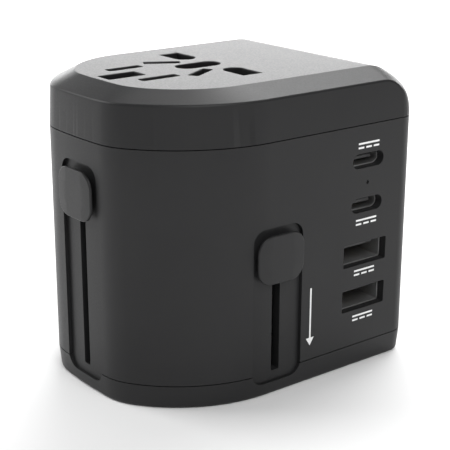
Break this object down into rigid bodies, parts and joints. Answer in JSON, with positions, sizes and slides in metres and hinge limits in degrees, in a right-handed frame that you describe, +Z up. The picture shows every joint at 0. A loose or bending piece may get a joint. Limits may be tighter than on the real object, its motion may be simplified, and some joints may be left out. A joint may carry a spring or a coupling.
{
  "type": "universal travel adapter",
  "caption": "Compact travel adapter: sliding UK, US/AU and EU plug pins, multi-standard socket on top and USB charging ports on one side.",
  "frame": {"origin": "middle of the base underside's bounding box", "axes": "+Z up through the socket face, -Y out of the charging-port face, -X out of the front slider face"},
  "size_m": [0.0704, 0.058, 0.0655],
  "materials": {
    "case_black": "fine satin texture",
    "track_black": "fine satin texture",
    "knob_black": "smooth satin",
    "sled_plastic": "moulded",
    "insulating_sleeve": "moulded",
    "carrier_plastic": "moulded, flame retardant",
    "pin_brass": "polished",
    "pin_nickel": "nickel plated",
    "contact_brass": "stamped",
    "spring_steel": "drawn wire",
    "screw_steel": "zinc plated",
    "port_steel": "stamped and plated",
    "port_plastic": "moulded",
    "board": "solder mask",
    "ferrite": "sintered",
    "copper_winding": "wound and taped",
    "capacitor_sleeve": "shrink sleeve",
    "fuse_ceramic": "glazed",
    "lens": "clear light pipe"
  },
  "bodies": {
    "case": {"top_cap": "case_black", "body_shell": "case_black", "base_cap": "case_black", "front_track": "track_black", "port_side_track": "track_black", "far_side_track": "track_black", "contact_carrier": "carrier_plastic", "live_contact": "contact_brass", "neutral_contact": "contact_brass", "earth_contact": "contact_brass", "live_bus_bar": "contact_brass", "neutral_bus_bar": "contact_brass", "divider_wall": "carrier_plastic", "power_board": "board", "usb_board": "board", "transformer_core": "ferrite", "transformer_winding": "copper_winding", "input_capacitors": "capacitor_sleeve", "output_capacitors": "capacitor_sleeve", "upper_usb_a_shell": "port_steel", "lower_usb_a_shell": "port_steel", "upper_usb_c_shell": "port_steel", "lower_usb_c_shell": "port_steel", "usb_a_tongues": "port_plastic", "usb_c_tongues": "port_plastic", "status_lens": "lens", "fuse": "fuse_ceramic", "fuse_clips": "contact_brass", "case_screws": "screw_steel", "carrier_screws": "screw_steel"},
    "uk_slider": {"uk_sled": "sled_plastic", "uk_live_pin": "pin_brass", "uk_neutral_pin": "pin_brass", "uk_earth_pin": "insulating_sleeve", "front_release_spring": "spring_steel"},
    "us_slider": {"us_sled": "sled_plastic", "port_side_release_spring": "spring_steel"},
    "eu_slider": {"eu_sled": "sled_plastic", "eu_live_pin": "pin_nickel", "eu_neutral_pin": "pin_nickel", "far_side_release_spring": "spring_steel"},
    "front_button": {"front_knob": "knob_black"},
    "port_side_button": {"port_side_knob": "knob_black"},
    "far_side_button": {"far_side_knob": "knob_black"},
    "us_live_turn": {"us_live_blade": "pin_nickel"},
    "us_neutral_turn": {"us_neutral_blade": "pin_nickel"}
  },
  "joints": [
    {"name": "uk_slide", "type": "slide", "parent": "case", "child": "uk_slider", "axis": [0, 0, -1], "range_m": [0, 0.0336]},
    {"name": "us_slide", "type": "slide", "parent": "case", "child": "us_slider", "axis": [0, 0, -1], "range_m": [0, 0.021]},
    {"name": "eu_slide", "type": "slide", "parent": "case", "child": "eu_slider", "axis": [0, 0, -1], "range_m": [0, 0.021]},
    {"name": "front_press", "type": "slide", "parent": "uk_slider", "child": "front_button", "axis": [1, 0, 0], "range_m": [0, 0.0006], "stiffness_N_per_m": 800, "springref_m": -0.001, "deforming": ["front_release_spring"]},
    {"name": "port_side_press", "type": "slide", "parent": "us_slider", "child": "port_side_button", "axis": [0, 1, 0], "range_m": [0, 0.0006], "stiffness_N_per_m": 800, "springref_m": -0.001, "deforming": ["port_side_release_spring"]},
    {"name": "far_side_press", "type": "slide", "parent": "eu_slider", "child": "far_side_button", "axis": [0, -1, 0], "range_m": [0, 0.0006], "stiffness_N_per_m": 800, "springref_m": -0.001, "deforming": ["far_side_release_spring"]},
    {"name": "us_live_turn", "type": "hinge", "parent": "us_slider", "child": "us_live_turn", "pos_m": [0.0052, 0.0065, 0.0234], "axis": [0, 0, -1], "range_deg": [0, 30]},
    {"name": "us_neutral_turn", "type": "hinge", "parent": "us_slider", "child": "us_neutral_turn", "pos_m": [0.0052, -0.0065, 0.0234], "axis": [0, 0, 1], "range_deg": [0, 30]}
  ]
}
